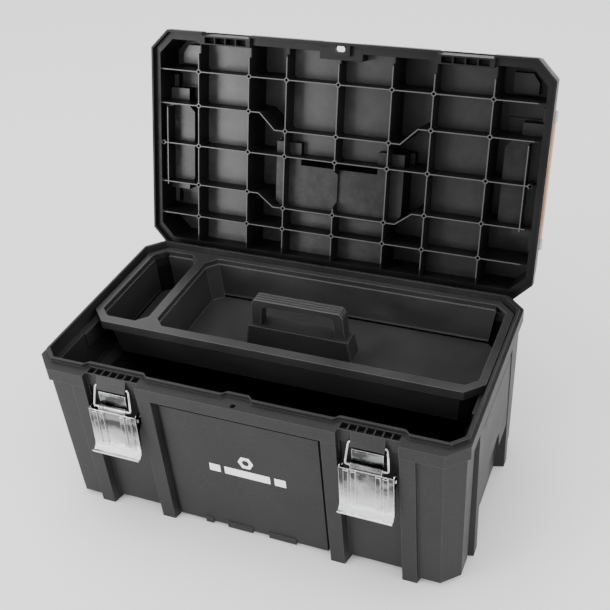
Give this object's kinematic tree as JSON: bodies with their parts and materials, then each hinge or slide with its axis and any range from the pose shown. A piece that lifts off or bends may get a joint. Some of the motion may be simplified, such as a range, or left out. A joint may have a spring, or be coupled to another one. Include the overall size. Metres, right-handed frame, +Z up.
{
  "type": "toolbox with lift-out tray",
  "caption": "Moulded plastic toolbox with a hinged ribbed lid, lift-out tray with bow handle, metal draw latches, end grips and lid organiser bins.",
  "frame": {"origin": "on the floor under the middle of the tub, on the face of the middle foot", "axes": "+X to the right seen from the front, +Y to the back where the lid's hinge is, +Z up"},
  "size_m": [0.5648, 0.4806, 0.5148],
  "materials": {
    "body_plastic": "fine grain",
    "lid_plastic": "satin inside, fine grain outside",
    "tray_plastic": "satin with a grained rim",
    "cover_plastic": "satin",
    "bracket_plastic": "satin",
    "latch_steel": "zinc plated",
    "wire_steel": "bright zinc plated",
    "pin_steel": "drawn wire"
  },
  "bodies": {
    "body": {"body_shell": "body_plastic", "hinge_pin_left": "pin_steel", "hinge_pin_centre": "pin_steel", "hinge_pin_right": "pin_steel"},
    "lid": {"lid_shell": "lid_plastic", "handle_pin_left": "pin_steel", "handle_pin_right": "pin_steel", "cover_bracket_left_front": "bracket_plastic", "cover_bracket_left_back": "bracket_plastic", "cover_bracket_right_front": "bracket_plastic", "cover_bracket_right_back": "bracket_plastic", "cover_rod_left": "pin_steel", "cover_rod_right": "pin_steel"},
    "carry_handle": {"carry_handle": "lid_plastic"},
    "organiser_cover_left": {"organiser_cover_left": "cover_plastic"},
    "organiser_cover_right": {"organiser_cover_right": "cover_plastic"},
    "tray": {"tray": "tray_plastic", "tray_handle": "tray_plastic"},
    "latch_link_left": {"latch_link_left": "wire_steel"},
    "latch_lever_left": {"latch_lever_left": "latch_steel", "latch_pin_left": "wire_steel"},
    "latch_hook_left": {"latch_hook_left": "latch_steel"},
    "latch_link_right": {"latch_link_right": "wire_steel"},
    "latch_lever_right": {"latch_lever_right": "latch_steel", "latch_pin_right": "wire_steel"},
    "latch_hook_right": {"latch_hook_right": "latch_steel"}
  },
  "joints": [
    {"name": "lid_hinge", "type": "hinge", "parent": "body", "child": "lid", "pos_m": [0, 0.1554, 0.2169], "axis": [-1, 0, 0], "range_deg": [-105.87, 0]},
    {"name": "tray_lift", "type": "slide", "parent": "body", "child": "tray", "axis": [0, 0, 1], "range_m": [0, 0.25]},
    {"name": "carry_handle_swing", "type": "hinge", "parent": "lid", "child": "carry_handle", "pos_m": [0, 0.25556, 0.3531], "axis": [1, 0, 0], "range_deg": [0, 95]},
    {"name": "organiser_cover_left_swing", "type": "hinge", "parent": "lid", "child": "organiser_cover_left", "pos_m": [-0.2752, 0.2583, 0.3492], "axis": [0, 0.2735, 0.9619], "range_deg": [0, 100]},
    {"name": "organiser_cover_right_swing", "type": "hinge", "parent": "lid", "child": "organiser_cover_right", "pos_m": [0.2752, 0.2583, 0.3492], "axis": [0, -0.2735, -0.9619], "range_deg": [0, 100]},
    {"name": "latch_link_left_swing", "type": "hinge", "parent": "body", "child": "latch_link_left", "pos_m": [-0.167, -0.1525, 0.2115], "axis": [-1, 0, 0], "range_deg": [0, 140]},
    {"name": "latch_lever_left_swing", "type": "hinge", "parent": "latch_link_left", "child": "latch_lever_left", "pos_m": [-0.167, -0.16, 0.1835], "axis": [-1, 0, 0], "range_deg": [-140, 0]},
    {"name": "latch_hook_left_swing", "type": "hinge", "parent": "latch_lever_left", "child": "latch_hook_left", "pos_m": [-0.167, -0.1588, 0.1715], "axis": [1, 0, 0], "range_deg": [-8, 5]},
    {"name": "latch_link_right_swing", "type": "hinge", "parent": "body", "child": "latch_link_right", "pos_m": [0.167, -0.1525, 0.2115], "axis": [-1, 0, 0], "range_deg": [0, 140]},
    {"name": "latch_lever_right_swing", "type": "hinge", "parent": "latch_link_right", "child": "latch_lever_right", "pos_m": [0.167, -0.16, 0.1835], "axis": [-1, 0, 0], "range_deg": [-140, 0]},
    {"name": "latch_hook_right_swing", "type": "hinge", "parent": "latch_lever_right", "child": "latch_hook_right", "pos_m": [0.167, -0.1588, 0.1715], "axis": [1, 0, 0], "range_deg": [-8, 5]}
  ],
  "couplings": [
    {"joint": "latch_lever_left_swing", "follows": "latch_link_left_swing", "ratio": -1},
    {"joint": "latch_lever_right_swing", "follows": "latch_link_right_swing", "ratio": -1}
  ]
}
